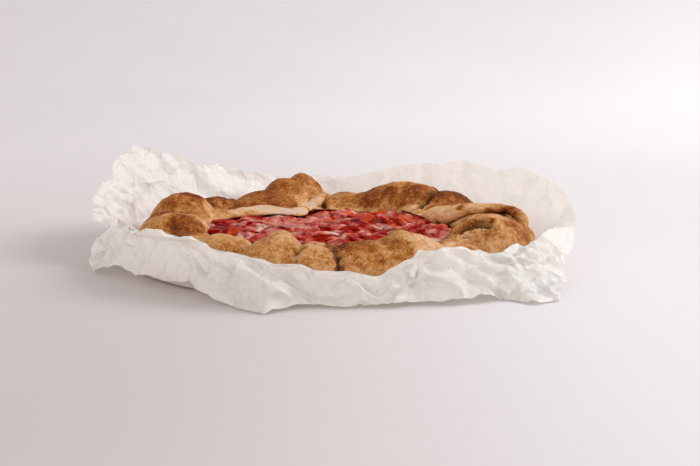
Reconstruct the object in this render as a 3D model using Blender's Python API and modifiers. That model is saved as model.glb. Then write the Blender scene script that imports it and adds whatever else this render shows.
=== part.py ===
"""Fruit galette on its sheet of baking parchment.

A round of wholemeal dough lies under a heap of baked fruit, and its border is
folded inwards in puffed, overlapping pleats. The galette lies on a crumpled
sheet of parchment whose sides stand up round it and whose front falls forward.

Metres, +Z up. The origin is the centre of the parchment's flat underside.
+X runs to the right along the sheet's long side and +Y to the back.
"""

import bmesh
import bpy
import numpy as np
from mathutils import Vector

MM = 0.001
TINY = 1e-6  # keeps a division off zero

CRUST_COLOUR, CRUST_ROUGHNESS = (0.45, 0.23, 0.08), 0.7
FRUIT_COLOUR, FRUIT_ROUGHNESS = (0.42, 0.04, 0.03), 0.25
PARCHMENT_COLOUR, PARCHMENT_ROUGHNESS = (0.83, 0.78, 0.72), 0.6

# The stack, from the surface it stands on upwards.
GAP = 0.3  # what touches keeps this gap
PARCHMENT_THICK = 0.6
DOUGH_UNDERSIDE = PARCHMENT_THICK + GAP
DOUGH_BASE_THICK = 4.4
FRUIT_UNDERSIDE = DOUGH_UNDERSIDE + DOUGH_BASE_THICK + GAP

# The rim, a ring of folded dough. Its section is measured by rays from a core
# circle inside the ring.
CORE_RADIUS = 101.0
CORE_HEIGHT = 12.0
RIM_WALL_RADIUS = 89.0  # the inner wall under the lip, against the fruit
BELLY_OUT, BELLY_UP = 18.5, 9.0  # half sizes of the plain ring's section
RIM_DOWN = 11.4  # and of every pleat's, below the core
CREASE_SOFTNESS = 1.6  # how far two puffed pleats run into each other

# The lip, the edge of the dough where it lies in on the fruit, counter-clockwise
# from the right: turn in degrees, radius of the edge, height of its middle there, and
# how much it climbs outwards on each millimetre
LIP_THICK = 4.2
LIP_ROOT_RADIUS = 104.0
OVERHANG_TILT = 164.0  # rays lower than this, and than the lip, meet the fruit first
LIP = (
    (0, 84, 18.5, 0.14), (14, 79, 19.5, 0.14), (24, 69, 21, 0.14), (36, 67, 22, 0.14),
    (44, 70, 21.5, 0.14), (50, 80, 17.5, 0.14), (65, 81, 15.2, 0.14), (84, 80, 15.8, 0.14),
    (91, 78, 17.2, 0.25), (97, 67, 18.2, 0.2), (103, 52, 20, 0.16), (110, 43, 19.6, 0.16),
    (116, 41, 19.4, 0.14), (124, 45, 20.2, 0.1), (132, 50, 21.2, 0.06), (140, 56, 20.8, 0.06),
    (147, 66, 20, 0.08), (155, 73, 19.6, 0.1), (163, 80, 19.4, 0.12), (180, 80, 18.5, 0.14),
    (205, 78, 18.5, 0.14), (225, 75, 19.5, 0.14), (240, 76, 19, 0.14), (256, 77, 20, 0.14),
    (264, 72, 23.4, 0.14), (271, 74, 22, 0.14), (278, 82, 18.5, 0.14), (300, 81, 18.5, 0.14),
    (318, 80, 18.6, 0.14), (333, 84, 18.8, 0.14), (346, 84, 19, 0.14),
)

# The pleats, counter-clockwise from the right. The columns are the turn in degrees,
# the radius and height of the middle, the half sizes across, up and along the rim,
# how blunt the clockwise and the counter-clockwise ends are (2 is round, 1.2 a slope,
# 5 a step) and how far the counter-clockwise end is shifted outwards
ROUND = 2
PLEATS = {
    "right_sweep": (9, 104, 12, 27, 18.8, 25, 3.5, 1.8, -10),
    "right_shoulder": (35, 102, 12, 24, 20.8, 23, 1.35, 4, -3),
    "right_tongue": (32, 72, 20.5, 7, 4.4, 19, 2, 3.5, 3),
    "back_roll": (61, 105, 12, 25, 22.8, 35, 3.6, 1.5, 0),
    "back_roll_tail": (80, 103, 12, 22, 12.8, 21, 2, 3.2, 0),
    "back_roll_end": (73, 104, 12, 23, 14.6, 13, 2, 2.4, 0),
    "back_peak": (100.5, 107, 12, 19, 27.3, 18, 1.8, 1.3, 0),
    "back_peak_foot": (105, 105, 12, 22, 23.5, 20, 2, 3.2, 0),
    "back_low": (119, 96, 12, 23, 15, 25, 3, 2.4, 0),
    "left_back": (141, 101, 12, 23, 16.4, 15, 2.6, 2.4, 0),
    "left_upper": (160, 103, 12, 23, 24.5, 22, 1.7, 2.6, 0),
    "left_lower": (188, 99, 12, 25, 20, 26, 3, 2, 0),
    "front_left_low": (209, 97, 12, 22, 13, 16, 1.6, 2, 0),
    "front_left": (228, 97, 12, 23, 17, 21, 1.6, 4, 0),
    "front_point": (252, 92, 12, 21, 22.2, 17, 1.6, 1.9, 0),
    "front_point_foot": (251, 96, 12, 23, 18, 19, 2.6, 2.2, 0),
    "front_dome": (266.5, 103, 12, 19, 16, 13, 3, 3, 0),
    "front_flat": (282.5, 97, 12, 23, 17.2, 20.5, 5, 3, 0),
    "front_peak": (298, 94, 12, 21, 22, 14, 2.6, 1.7, 0),
    "front_slope": (300, 98, 12, 23, 20.5, 33, 2, 1.3, 2),
    "right_lobe": (341, 105.5, 12, 27, 21, 31, 1.8, 2.6, 4),
}


def around(turn):
    """Unit vectors out from the axis at these turns, in degrees."""
    turn = np.radians(turn)
    return np.stack([np.cos(turn), np.sin(turn)], axis=-1)


def smooth_max(a, b, soft):
    """The larger of two lengths, with the crease between them filled a little."""
    near = np.clip(1 - np.abs(a - b) / soft, 0, None)
    return np.maximum(a, b) + soft / 4 * near**2


def read_round(table, turn, column):
    """A column of a table whose rows start with a turn, eased between the rows."""
    turns = np.array([row[0] for row in table] + [table[0][0] + 360.0])
    values = np.array([row[column] for row in table] + [table[0][column]])
    turn = (np.asarray(turn, float) - turns[0]) % 360 + turns[0]
    low = np.clip(np.searchsorted(turns, turn, side="right") - 1, 0, len(table) - 1)
    share = (turn - turns[low]) / (turns[low + 1] - turns[low])
    share = share * share * (3 - 2 * share)
    return values[low] + share * (values[low + 1] - values[low])


def belly_reach(out, up):
    """How far rays in a section run from the core to the plain ring's surface."""
    half_up = np.where(up < 0, RIM_DOWN, BELLY_UP)
    return 1 / np.sqrt((out / BELLY_OUT) ** 2 + (up / half_up) ** 2)


def ellipse_reach(start_out, start_up, aim_out, aim_up):
    """How far rays run before they leave a unit circle, or 0 where they miss it."""
    a = aim_out**2 + aim_up**2
    b = start_out * aim_out + start_up * aim_up
    c = start_out**2 + start_up**2 - 1
    under_root = b * b - a * c
    reach = np.where(under_root > 0, (-b + np.sqrt(np.abs(under_root))) / a, 0)
    return np.maximum(reach, 0)


def lip_reach(turn, out, up):
    """The same to the far side of the lip, a thin blade with a round edge."""
    edge, height, rise = (read_round(LIP, turn, column) for column in (1, 2, 3))
    half, half_up = (LIP_ROOT_RADIUS - edge) / 2, LIP_THICK / 2
    from_middle = CORE_RADIUS - (LIP_ROOT_RADIUS + edge) / 2
    drop = CORE_HEIGHT - (height + rise * (half + from_middle))
    return ellipse_reach(
        from_middle / half, drop / half_up, out / half, (up - rise * out) / half_up
    )


def pleat_reach(turn, out, up, pleat):
    """The same to the far side of one pleat, a puffed roll that lies along the rim."""
    at_turn, radius, height, half_across, half_up, half_along, first, last, shift = pleat
    away = (turn - at_turn + 180) % 360 - 180
    along = np.clip(CORE_RADIUS * np.radians(away) / half_along, -1, 1)
    blunt = np.where(along < 0, first, last)
    full = np.maximum(1 - np.abs(along) ** blunt, TINY) ** (1 / np.minimum(blunt, ROUND))
    across = half_across * np.sqrt(full)
    upwards = np.where(up < 0, min(half_up, RIM_DOWN), half_up) * full
    middle = radius + shift * along
    reach = ellipse_reach(
        (CORE_RADIUS - middle) / across, (CORE_HEIGHT - height) / upwards, out / across, up / upwards
    )
    return np.where(np.abs(along) < 1, reach, 0)


def rim_reach(turn, tilt):
    """Distance from the core circle to the dough's surface, for each ray."""
    out, up = np.cos(np.radians(tilt)), np.sin(np.radians(tilt))
    lip = lip_reach(turn, out, up)
    reach = smooth_max(belly_reach(out, up), lip, CREASE_SOFTNESS)
    for pleat in PLEATS.values():
        reach = smooth_max(reach, pleat_reach(turn, out, up, pleat), CREASE_SOFTNESS)
    floor = (CORE_HEIGHT - DOUGH_UNDERSIDE) / np.maximum(-up, TINY)
    reach = np.minimum(reach, np.where(up < 0, floor, np.inf))
    undercut = (tilt > undercut_tilt(turn)) & (lip == 0)
    wall = (CORE_RADIUS - RIM_WALL_RADIUS) / np.maximum(-out, TINY)
    return np.where(undercut, np.minimum(reach, wall), reach)


def undercut_tilt(turn):
    """The lowest ray that meets the dough's inner edge, over the fruit."""
    edge, height = read_round(LIP, turn, 1), read_round(LIP, turn, 2)
    lip_tilt = np.degrees(np.arctan2(height - CORE_HEIGHT, edge - CORE_RADIUS))
    return np.maximum(lip_tilt, OVERHANG_TILT)


def new_object(name, mesh_builder, colour, roughness):
    mesh = bpy.data.meshes.new(name)
    bm = bmesh.new()
    mesh_builder(bm)
    bmesh.ops.recalc_face_normals(bm, faces=bm.faces)
    bm.to_mesh(mesh)
    bm.free()
    mesh.shade_smooth()
    material = bpy.data.materials.new(name)
    material.use_nodes = True
    shader = material.node_tree.nodes["Principled BSDF"]
    shader.inputs["Base Color"].default_value = (*colour, 1)
    shader.inputs["Roughness"].default_value = roughness
    mesh.materials.append(material)
    made = bpy.data.objects.new(name, mesh)
    collection.objects.link(made)
    return made


def loft(bm, rings, first_pole=None, last_pole=None):
    """Join rings of points, all of one length, and close the ends at their poles."""
    rows = [[bm.verts.new(Vector(point) * MM) for point in ring] for ring in rings]
    for row, following in zip(rows, rows[1:]):
        for i in range(len(row)):
            j = (i + 1) % len(row)
            bm.faces.new((row[i], row[j], following[j], following[i]))
    for row, pole in ((rows[0], first_pole), (rows[-1], last_pole)):
        if pole is not None:
            tip = bm.verts.new(Vector(pole) * MM)
            for i in range(len(row)):
                bm.faces.new((row[i], row[(i + 1) % len(row)], tip))


CRUST_TURNS = 112
# Rays from the inner foot, under the ring and over its crest, then rays counted
# from the lowest that meets its inner edge, then down the wall to the base.
OUTER_TILTS = (-125, -90, -50, -28, -8, 12, 30, 46, 60, 73, 86, 99, 112, 126, 139)
EDGE_TILTS = (-14, -7, -2.5, 0.3, 8)
WALL_TILTS = (185, 210)


def crust_rays(turns):
    turn = np.arange(turns) * 360 / turns
    tilts = [np.full(turns, float(tilt)) for tilt in OUTER_TILTS]
    tilts += [undercut_tilt(turn) + tilt for tilt in EDGE_TILTS]
    tilts += [np.full(turns, float(tilt)) for tilt in WALL_TILTS]
    return np.tile(turn, (len(tilts), 1)), np.array(tilts)


def build_crust(bm):
    turn, tilt = crust_rays(CRUST_TURNS)
    reach = rim_reach(turn, tilt)
    radius = CORE_RADIUS + reach * np.cos(np.radians(tilt))
    height = CORE_HEIGHT + reach * np.sin(np.radians(tilt))
    ring = around(turn)
    rings = np.concatenate([radius[..., None] * ring, height[..., None]], axis=-1)
    base_top = DOUGH_UNDERSIDE + DOUGH_BASE_THICK
    rings[-1, :, 2] = base_top
    rings[-1, :, :2] = RIM_WALL_RADIUS * ring[-1]
    loft(bm, rings, (0, 0, DOUGH_UNDERSIDE), (0, 0, base_top))


# The fruit, a heap up to the lip that runs in under it.
FRUIT_HEIGHT = 17.8
FRUIT_UNEVEN = 0.7
# The heap sank at the back: how far, over which depth, and left of which line less
FRUIT_SUNK, SUNK_FROM, SUNK_OVER = 3.2, (-12.0, 38.0), (20.0, 34.0)
FRUIT_EDGE_RADIUS = RIM_WALL_RADIUS - 1.2  # clear of the wall between its corners too
FRUIT_EDGE_HEIGHT = 12.0
RIM_REACH_IN = 76.0  # the pleats stop here, where the lip doesn't reach further in
FRUIT_INSIDE_LIP = 3.0  # the heap starts to fall away this far inside the dough
FRUIT_RINGS = (0.17, 0.36, 0.54, 0.7, 0.86, 1)
FRUIT_TURNS = 56
# Two swells, each a wave along one way whose crests wander along the other:
# length of the wave and of its wander, and how far it wanders
SWELL_X = (9.1, 13.7, 1.3)
SWELL_Y = (7.3, 11.9, 1.7)


def swell(along, across, shape):
    length, wander_length, wander = shape
    return np.sin(along / length + wander * np.sin(across / wander_length))


def uneven(x, y):
    """A slow, irregular swell between -1 and 1 over millimetres."""
    return (swell(x, y, SWELL_X) + swell(y, x, SWELL_Y)) / 2


def heap_height(x, y):
    """Height of the heap's top over millimetres."""
    sunk = [
        np.clip((place - start) / over, 0, 1)
        for place, start, over in zip((x, y), SUNK_FROM, SUNK_OVER)
    ]
    return FRUIT_HEIGHT + FRUIT_UNEVEN * uneven(x, y) - FRUIT_SUNK * sunk[0] * sunk[1]


def build_fruit(bm):
    turn = np.arange(FRUIT_TURNS) * 360 / FRUIT_TURNS
    ring = around(turn)
    shoulder = np.minimum(read_round(LIP, turn, 1), RIM_REACH_IN) - FRUIT_INSIDE_LIP
    radii = [shoulder * share for share in FRUIT_RINGS]
    rings = []
    for radius in radii:
        xy = radius[:, None] * ring
        rings.append(np.column_stack([xy, heap_height(xy[:, 0], xy[:, 1])]))
    for height in (FRUIT_EDGE_HEIGHT, FRUIT_UNDERSIDE):
        rings.append(np.column_stack([FRUIT_EDGE_RADIUS * ring, np.full(len(turn), height)]))
    loft(bm, rings, (0, 0, heap_height(0, 0)), (0, 0, FRUIT_UNDERSIDE))


# The parchment, counter-clockwise from the right: turn in degrees, radius where it
# leaves the surface, radius and height where it folds over (or of the middle of a
# wall that doesn't), radius and height of its free edge
PARCHMENT_FLAT = 104.0
SHEET = (
    (0, 137, 148, 20, 158, 37), (12, 135, 142, 25, 151, 46), (24, 133, 139, 28, 146, 50),
    (32, 131, 136, 24, 142, 44), (45, 129, 134, 26, 140, 49), (66, 128, 134, 21, 139, 41),
    (84, 127, 134, 16, 142, 31), (104, 127, 135, 16, 144, 31), (121, 127, 140, 23, 156, 41),
    (130, 127, 139, 24, 150, 43), (135, 127, 144, 30, 166, 53), (147, 127, 145, 34, 162, 61),
    (157, 128, 142, 32, 154, 57), (168, 128, 138, 28, 149, 48), (178, 129, 138, 26, 149, 38),
    (184, 129, 138, 25, 151, 24), (188, 129, 138, 25, 143, 22), (192, 128, 138, 24, 153, 9),
    (197, 127, 137, 26, 152, 1.5), (204, 126, 134, 31, 146, 5), (207, 126, 133, 32, 142, 9),
    (222, 123, 132, 35, 138, 8), (233, 122, 131, 34, 137, 6), (244, 121, 131, 29, 141, 3),
    (248, 121, 131, 27.6, 145, 2), (254, 121, 131, 26.5, 151, 1), (257, 121, 131, 25, 154, 1),
    (263, 121, 131, 24, 139, 2), (268, 121, 130, 20, 137, 2.5), (274, 121, 130, 20, 137, 2.5),
    (282, 121, 131, 16.2, 138, 3), (286, 122, 132, 21, 140, 3), (290, 122, 132, 25, 141, 3),
    (294, 123, 132, 28.2, 142, 3), (300, 124, 132, 28.7, 147, 3), (304, 124, 133, 27.8, 150, 2.5),
    (309, 126, 135, 25.6, 157, 2), (312, 126, 135, 23.5, 176, 1), (318, 128, 137, 21.5, 177, 2),
    (326, 132, 140, 21.5, 168, 8), (331, 134, 142, 25.5, 162, 13), (337, 136, 145, 28, 160, 18),
    (343, 137, 147, 27, 160, 24), (350, 138, 148, 23, 159, 30),
)
SHEET_ROWS = 3  # between the knee and the fold, and again from there to the free edge
SHEET_TURNS = 90
# How hard each side was crushed: turn in degrees, share of the creases' depth
CRUSHED = (
    (0, 0.4), (25, 0.3), (45, 0.25), (100, 0.25), (120, 0.4), (140, 0.6), (192, 0.6),
    (206, 0.3), (230, 0.15), (265, 0.2), (303, 0.25), (318, 0.4), (347, 0.4),
)
KNEE_HEIGHT = 1.5
SHEET_LOWEST = 0.8  # the front lies this far clear of the surface
CRUMPLE_SIZE = 34.0
CRUMPLE_DEEP = 5.0
CRUMPLE_EXTENT = 210.0  # the creases' points are scattered this far each way
CRUMPLE_OUT_SEED, CRUMPLE_UP_SEED = 3, 4


def crumple(x, y, size, seed):
    """Flat facets with straight creases: the difference of the squared distances to
    the nearest of two sets of scattered points, which is linear between creases."""
    scatter = np.random.default_rng(seed)
    count = int((2 * CRUMPLE_EXTENT / size) ** 2)
    nearest = []
    for _ in range(2):
        spots = scatter.uniform(-CRUMPLE_EXTENT, CRUMPLE_EXTENT, (count, 2))
        away = (x[..., None] - spots[:, 0]) ** 2 + (y[..., None] - spots[:, 1]) ** 2
        nearest.append(away.min(axis=-1))
    return (nearest[0] - nearest[1]) / size**2


def sheet_points(turn, along):
    """Points of the parchment: along runs from 0 at the knee to 1 at the fold and 2
    at the free edge."""
    knee, fold_radius, fold_height, edge_radius, edge_height = (
        read_round(SHEET, turn, column) for column in range(1, 6)
    )
    rising = np.hypot(fold_radius - knee, fold_height - KNEE_HEIGHT)
    beyond = np.hypot(edge_radius - fold_radius, edge_height - fold_height)
    first, second = np.clip(along, 0, 1), np.clip(along - 1, 0, 1)
    radius = knee + (fold_radius - knee) * first + (edge_radius - fold_radius) * second
    height = KNEE_HEIGHT + (fold_height - KNEE_HEIGHT) * first
    height = height + (edge_height - fold_height) * second
    ring = around(turn)
    laid_flat = knee + rising * first + beyond * second
    spread = laid_flat[..., None] * ring
    amount = CRUMPLE_DEEP * read_round(CRUSHED, turn, 1) * first
    x, y = spread[..., 0], spread[..., 1]
    radius = radius + amount * crumple(x, y, CRUMPLE_SIZE, CRUMPLE_OUT_SEED)
    height = height + amount * crumple(x, y, CRUMPLE_SIZE, CRUMPLE_UP_SEED)
    height = np.maximum(height, SHEET_LOWEST)
    return np.concatenate([radius[..., None] * ring, height[..., None]], axis=-1)


def build_parchment(bm):
    turns = np.arange(SHEET_TURNS) * 360 / SHEET_TURNS
    ring = around(turns)
    knee = read_round(SHEET, turns, 1)
    along = np.arange(2 * SHEET_ROWS + 1) / SHEET_ROWS
    turn, along = np.meshgrid(turns, along, indexing="xy")
    rings = list(sheet_points(turn, along))
    flat = np.full(SHEET_TURNS, PARCHMENT_FLAT)
    for radius in ((knee + flat) / 2, flat):
        rings.insert(0, np.column_stack([radius[:, None] * ring, np.zeros(SHEET_TURNS)]))
    loft(bm, rings, (0, 0, 0))


# Start from an empty scene.
for old in list(bpy.data.objects):
    bpy.data.objects.remove(old, do_unlink=True)
collection = bpy.data.collections.new("fruit_galette")
bpy.context.scene.collection.children.link(collection)

new_object("crust", build_crust, CRUST_COLOUR, CRUST_ROUGHNESS)
new_object("filling", build_fruit, FRUIT_COLOUR, FRUIT_ROUGHNESS)
parchment = new_object("parchment", build_parchment, PARCHMENT_COLOUR, PARCHMENT_ROUGHNESS)
thicken = parchment.modifiers.new("thickness", "SOLIDIFY")
thicken.thickness = PARCHMENT_THICK * MM
thicken.offset = 1
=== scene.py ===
"""Fruit galette: a free-form pie of folded wholemeal dough, open over a heap of baked
rhubarb and strawberries, on the crumpled sheet of parchment that it was baked on."""

import math

import bpy
import numpy as np
from mathutils import Matrix, Vector, kdtree, noise


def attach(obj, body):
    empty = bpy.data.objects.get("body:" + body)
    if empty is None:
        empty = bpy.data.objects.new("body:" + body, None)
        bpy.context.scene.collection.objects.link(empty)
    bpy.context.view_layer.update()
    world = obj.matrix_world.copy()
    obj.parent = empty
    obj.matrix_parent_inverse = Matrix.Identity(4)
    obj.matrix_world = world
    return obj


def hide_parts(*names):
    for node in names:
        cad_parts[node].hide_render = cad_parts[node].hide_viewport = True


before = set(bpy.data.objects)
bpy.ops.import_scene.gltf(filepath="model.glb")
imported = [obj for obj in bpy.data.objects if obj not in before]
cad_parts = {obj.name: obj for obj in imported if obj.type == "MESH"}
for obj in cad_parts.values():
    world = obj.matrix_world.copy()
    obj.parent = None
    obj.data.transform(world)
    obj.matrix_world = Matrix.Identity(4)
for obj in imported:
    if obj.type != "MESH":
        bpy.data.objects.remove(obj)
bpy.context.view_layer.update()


# The sheet of baking parchment that the galette was baked and carried on. Its middle
# lies flat under the dough. Its sides were crushed by hand, so they stand up round the
# pie in small facets with sharp creases, and its front falls forward over itself.

MM = 0.001
PARCHMENT_FLAT = 104.0
KNEE_HEIGHT = 1.5
SHEET_LOWEST = 0.8
SHEET_TURNS = 860
FLAT_ROWS, KNEE_ROWS, STANDING_ROWS = 5, 8, 98
# Counter-clockwise from the right: turn in degrees, radius where the sheet leaves the
# surface, radius and height where it folds over, radius and height of its free edge
SHEET = (
    (0, 137, 148, 20, 158, 37), (12, 135, 142, 25, 151, 46), (24, 133, 139, 28, 146, 50),
    (32, 131, 136, 24, 142, 44), (45, 129, 134, 26, 140, 49), (66, 128, 134, 21, 139, 41),
    (84, 127, 134, 16, 142, 31), (104, 127, 135, 16, 144, 31), (121, 127, 140, 23, 156, 41),
    (130, 127, 139, 24, 150, 43), (135, 127, 144, 30, 166, 53), (147, 127, 145, 34, 162, 61),
    (157, 128, 142, 32, 154, 57), (168, 128, 138, 28, 149, 48), (178, 129, 138, 26, 149, 38),
    (184, 129, 138, 25, 151, 24), (188, 129, 138, 25, 143, 22), (192, 128, 138, 24, 153, 9),
    (197, 127, 137, 26, 152, 1.5), (204, 126, 134, 31, 146, 5), (207, 126, 133, 32, 142, 9),
    (222, 123, 132, 35, 138, 8), (233, 122, 131, 34, 137, 6), (244, 121, 131, 29, 141, 3),
    (248, 121, 131, 27.6, 145, 2), (254, 121, 131, 26.5, 151, 1), (257, 121, 131, 25, 154, 1),
    (263, 121, 131, 24, 139, 2), (268, 121, 130, 20, 137, 2.5), (274, 121, 130, 20, 137, 2.5),
    (282, 121, 131, 16.2, 138, 3), (286, 122, 132, 21, 140, 3), (290, 122, 132, 25, 141, 3),
    (294, 123, 132, 28.2, 142, 3), (300, 124, 132, 28.7, 147, 3), (304, 124, 133, 27.8, 150, 2.5),
    (309, 126, 135, 25.6, 157, 2), (312, 126, 135, 23.5, 176, 1), (318, 128, 137, 21.5, 177, 2),
    (326, 132, 140, 21.5, 168, 8), (331, 134, 142, 25.5, 162, 13), (337, 136, 145, 28, 160, 18),
    (343, 137, 147, 27, 160, 24), (350, 138, 148, 23, 159, 30),
)
CREASED_REACH = (128.0, 200.0)
# Long folds: turn and place along the sheet of both ends, height and half width
LONG_FOLDS = (
    (206, 1.05, 238, 1.4, 3.0, 6), (235, 1.32, 250, 1.95, 3.0, 6), (201, 1.2, 236, 1.7, 1.3, 2.2),
    (226, 1.0, 256, 1.9, 2.2, 6), (230, 1.02, 246, 1.6, 1.2, 2), (236, 1.1, 262, 1.9, -2.0, 5),
    (240, 1.0, 268, 1.45, 2.2, 3.2), (250, 1.0, 266, 1.9, 1.8, 3), (244, 1.5, 280, 1.2, 1.3, 2.2),
    (263, 1.05, 290, 1.3, 1.8, 3), (272, 1.2, 300, 1.75, -1.6, 4), (262, 1.75, 296, 1.45, 1.2, 2.4),
    (284, 1.0, 318, 1.35, 1.8, 4), (290, 1.1, 312, 1.9, 1.6, 5), (300, 1.0, 330, 1.5, -1.6, 4),
    (150, 0.3, 176, 1.9, 1.5, 8), (128, 0.4, 150, 1.9, -1.5, 8), (20, 0.5, 44, 1.9, 1.2, 8),
    (60, 0.4, 92, 1.8, 0.9, 6), (96, 1.9, 118, 0.4, 1.0, 6), (345, 0.5, 12, 1.9, 1.5, 7),
)
TINY = 1e-6
CREASE_SHARE = 0.12  # of a facet's size, on either side of its edges
PRESSED_SEED = 21
# The turn of the fold at the front, how far round it runs, and how far up and down
FRONT_TURN, FRONT_SPREAD, FRONT_REACH = 268, 70, 0.3
# How hard each side was crushed: turn in degrees, share of the broad crumples and of
# the finer ones
CRUSHED = (
    (0, 0.25, 0.45), (25, 0.3, 0.5), (45, 0.25, 0.4), (100, 0.25, 0.4), (120, 0.4, 0.6),
    (140, 0.6, 0.75), (170, 0.6, 0.75), (192, 0.6, 1.0), (206, 0.3, 0.7), (230, 0.15, 0.65),
    (265, 0.2, 0.7), (288, 0.2, 0.75), (303, 0.25, 0.8), (318, 0.4, 1.1), (329, 0.35, 0.9),
    (338, 0.2, 0.4), (350, 0.2, 0.35),
)
# Size of the facets, depth of their relief, seeds of its two directions, and the
# column of CRUSHED that weighs it
CRUMPLES = ((34.0, 5.0, 3, 4, 1), (17.0, 3.4, 5, 6, 2), (9.0, 1.1, 7, 8, 2))
CRUMPLE_EXTENT = 210.0
FOLD_CALM = 0.75  # less crumpled along the fold at the front
# Straight creases that the hand pressed in: how many, and the least and most of their
# half width, their length and their slope
CREASE_SETS = ((50, 5.0, 12.0, 40.0, 110.0, 0.2), (240, 1.4, 3.0, 14.0, 60.0, 0.4))


def around(turn):
    """Unit vectors out from the axis at these turns, in degrees."""
    turn = np.radians(turn)
    return np.stack([np.cos(turn), np.sin(turn)], axis=-1)


def read_round(table, turn, column, eased=True):
    """A column of a table whose rows start with a turn, eased between the rows or not."""
    turns = np.array([row[0] for row in table] + [table[0][0] + 360.0])
    values = np.array([row[column] for row in table] + [table[0][column]])
    turn = (np.asarray(turn, float) - turns[0]) % 360 + turns[0]
    low = np.clip(np.searchsorted(turns, turn, side="right") - 1, 0, len(table) - 1)
    share = (turn - turns[low]) / (turns[low + 1] - turns[low])
    share = share * share * (3 - 2 * share) if eased else share
    return values[low] + share * (values[low + 1] - values[low])


def crumple(xy, size, seed):
    """Flat facets with straight creases: the difference of the squared distances to
    the nearest of two sets of scattered points, and how close each point is to a
    crease, from 0 to 1."""
    scatter = np.random.default_rng(seed)
    count = int((2 * CRUMPLE_EXTENT / size) ** 2)
    flat = xy.reshape(-1, 2)
    nearest, crease = [], np.zeros(len(flat))
    for _ in range(2):
        spots = scatter.uniform(-CRUMPLE_EXTENT, CRUMPLE_EXTENT, (count, 2))
        tree = kdtree.KDTree(count)
        for index, (x, y) in enumerate(spots):
            tree.insert((x, y, 0), index)
        tree.balance()
        found = np.array([[hit[2] for hit in tree.find_n((x, y, 0), 2)] for x, y in flat])
        nearest.append(found[:, 0] ** 2)
        crease = np.maximum(crease, 1 - (found[:, 1] - found[:, 0]) / (CREASE_SHARE * size))
    return ((nearest[0] - nearest[1]) / size**2).reshape(xy.shape[:-1]), crease.reshape(xy.shape[:-1])


def grid_normals(points):
    """Unit normals of a grid that closes round."""
    across = np.gradient(points, axis=0)
    around_rim = np.roll(points, -1, axis=1) - np.roll(points, 1, axis=1)
    normal = np.cross(around_rim, across)
    return normal / np.maximum(np.linalg.norm(normal, axis=-1, keepdims=True), TINY)


def sheet_reach(turn, along):
    """Radius on the sheet laid flat again, of places on it as it stands."""
    knee, fold_radius, fold_height, edge_radius, edge_height = (
        read_round(SHEET, turn, column) for column in range(1, 6)
    )
    first = np.hypot(fold_radius - knee, fold_height - KNEE_HEIGHT) * np.clip(along, -1, 1)
    second = np.hypot(edge_radius - fold_radius, edge_height - fold_height)
    return knee + first + second * np.clip(along - 1, 0, 1)


def pressed_creases(spread, seed):
    """Relief of many straight creases over the flat sheet, each a low tent with a
    sharp ridge, and how close each point is to the ridge of a narrow one."""
    draw = np.random.default_rng(seed)
    relief, line = np.zeros(spread.shape[:-1]), np.zeros(spread.shape[:-1])
    for first_turn, first_along, last_turn, last_along, deep, half in LONG_FOLDS:
        start = sheet_reach(first_turn, first_along) * around(first_turn)
        end = sheet_reach(last_turn, last_along) * around(last_turn)
        aim = (end - start) / np.linalg.norm(end - start)
        run = (spread - (start + end) / 2) @ aim / (np.linalg.norm(end - start) / 2)
        off = (spread - start) @ np.array([-aim[1], aim[0]])
        tent = np.clip(1 - np.abs(off) / half, 0, 1) * np.clip(3 * (1.1 - np.abs(run)), 0, 1)
        relief += 2 * deep * tent
        line = np.maximum(line, np.clip(1 - np.abs(off) / 1.2, 0, 1) * (tent > 0))
    for count, least, most, short, long, slope in CREASE_SETS:
        for _ in range(count):
            reach, turn = draw.uniform(*CREASED_REACH), draw.uniform(0, 2 * math.pi)
            middle = reach * np.array([math.cos(turn), math.sin(turn)])
            aim = turn + draw.normal(0, 0.9)
            aim = np.array([math.cos(aim), math.sin(aim)])
            half, length = draw.uniform(least, most), draw.uniform(short, long) / 2
            deep = draw.choice((-1, 1)) * slope * half * draw.uniform(0.4, 1)
            away = spread - middle
            run, off = away @ aim, away @ np.array([-aim[1], aim[0]])
            tent = np.clip(1 - np.abs(off) / half, 0, 1) * np.clip(2.5 * (1 - np.abs(run) / length), 0, 1)
            relief += deep * tent
            if half < 4:
                line = np.maximum(line, tent)
    return relief, line


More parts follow.
